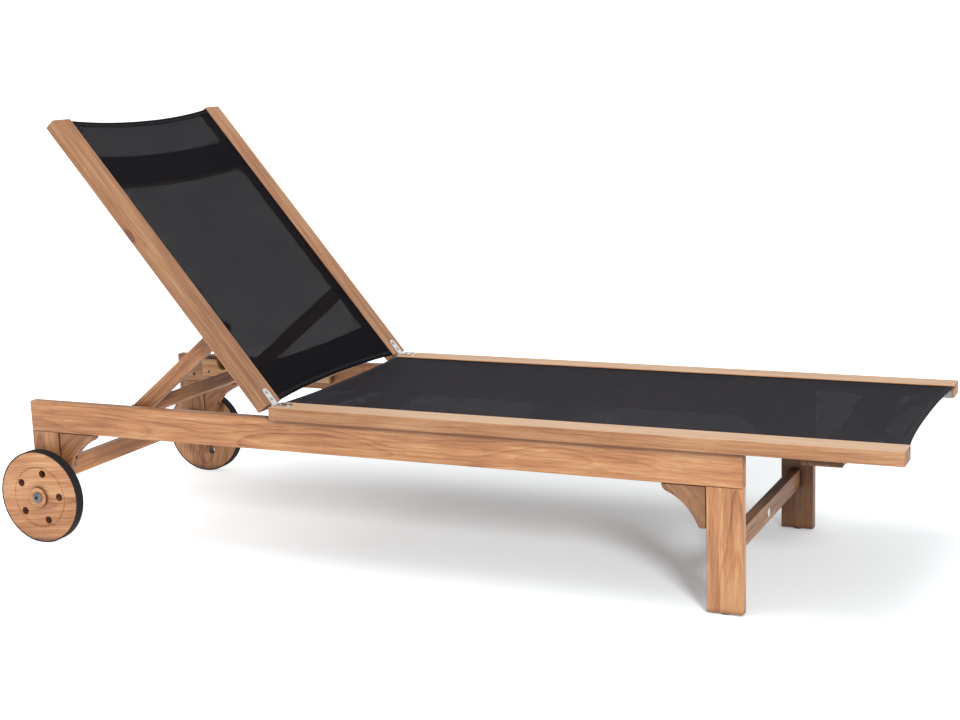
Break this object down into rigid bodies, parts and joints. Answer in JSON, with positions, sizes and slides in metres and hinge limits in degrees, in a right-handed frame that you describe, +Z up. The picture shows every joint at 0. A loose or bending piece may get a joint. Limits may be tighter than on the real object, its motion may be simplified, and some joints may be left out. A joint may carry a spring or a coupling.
{
  "type": "reclining sun lounger",
  "caption": "Teak sun lounger with a woven sling seat, a reclining sling backrest propped on notched racks, and wooden wheels with rubber tyres at the head end.",
  "frame": {"origin": "on the ground under the middle of the whole lounger", "axes": "+X towards the foot end, +Y towards the user's left, +Z up"},
  "size_m": [2.054, 0.7118, 0.9635],
  "materials": {
    "frame_teak": "oiled satin",
    "rack_teak": "oiled satin",
    "wheel_teak": "oiled satin",
    "sling_mesh": "woven matte",
    "sling_cord": "matte",
    "tyre_rubber": "matte",
    "glide": "matte",
    "spreader_aluminium": "satin",
    "fittings_steel": "brushed"
  },
  "bodies": {
    "base": {"lower_rail_left": "frame_teak", "lower_rail_right": "frame_teak", "head_leg_left": "frame_teak", "head_leg_right": "frame_teak", "foot_leg_left": "frame_teak", "foot_leg_right": "frame_teak", "head_stretcher": "frame_teak", "foot_stretcher": "frame_teak", "head_bracket_left": "frame_teak", "head_bracket_right": "frame_teak", "foot_bracket_left": "frame_teak", "foot_bracket_right": "frame_teak", "rack_left": "rack_teak", "rack_right": "rack_teak", "seat_rail_left": "frame_teak", "seat_rail_right": "frame_teak", "seat_slat_head": "frame_teak", "seat_slat_middle": "frame_teak", "seat_slat_foot": "frame_teak", "spreader_bar_head": "spreader_aluminium", "spreader_bar_foot": "spreader_aluminium", "seat_sling": "sling_mesh", "seat_sling_cords": "sling_cord", "seat_leaf_left": "fittings_steel", "seat_leaf_right": "fittings_steel", "hinge_pins": "fittings_steel", "seat_hinge_screws": "fittings_steel", "axle_bolt_left": "fittings_steel", "axle_bolt_right": "fittings_steel", "axle_spacers": "fittings_steel", "axle_caps": "fittings_steel", "foot_glides": "glide", "bracket_screws": "fittings_steel", "rack_screws": "fittings_steel", "leg_bolts": "fittings_steel", "barrel_nuts": "fittings_steel", "frame_screws": "fittings_steel", "blank_badge": "fittings_steel"},
    "backrest": {"back_rail_left": "frame_teak", "back_rail_right": "frame_teak", "back_slat_top": "frame_teak", "back_slat_bottom": "frame_teak", "back_sling": "sling_mesh", "back_sling_cords": "sling_cord", "back_leaf_left": "fittings_steel", "back_leaf_right": "fittings_steel", "back_hinge_screws": "fittings_steel", "prop_pivot_bolts": "fittings_steel"},
    "prop": {"prop_arm_left": "frame_teak", "prop_arm_right": "frame_teak", "prop_crossbar": "frame_teak", "prop_screws": "fittings_steel"},
    "left_wheel": {"wheel_left": "wheel_teak", "tyre_left": "tyre_rubber", "hub_bush_left": "fittings_steel"},
    "right_wheel": {"wheel_right": "wheel_teak", "tyre_right": "tyre_rubber", "hub_bush_right": "fittings_steel"}
  },
  "joints": [
    {"name": "backrest_hinge", "type": "hinge", "parent": "base", "child": "backrest", "pos_m": [-0.302, 0, 0.353], "axis": [0, 1, 0], "range_deg": [-50.5, 22]},
    {"name": "prop_pivot", "type": "hinge", "parent": "backrest", "child": "prop", "pos_m": [-0.45382, 0, 0.50259], "axis": [0, 1, 0], "range_deg": [-37, 84]},
    {"name": "left_wheel_spin", "type": "hinge", "parent": "base", "child": "left_wheel", "pos_m": [-0.919, 0.335, 0.108], "axis": [0, 1, 0], "continuous": true},
    {"name": "right_wheel_spin", "type": "hinge", "parent": "base", "child": "right_wheel", "pos_m": [-0.919, -0.335, 0.108], "axis": [0, 1, 0], "continuous": true}
  ],
  "couplings": [
    {"joint": "prop_pivot", "follows": "backrest_hinge", "ratio": -1.65}
  ]
}
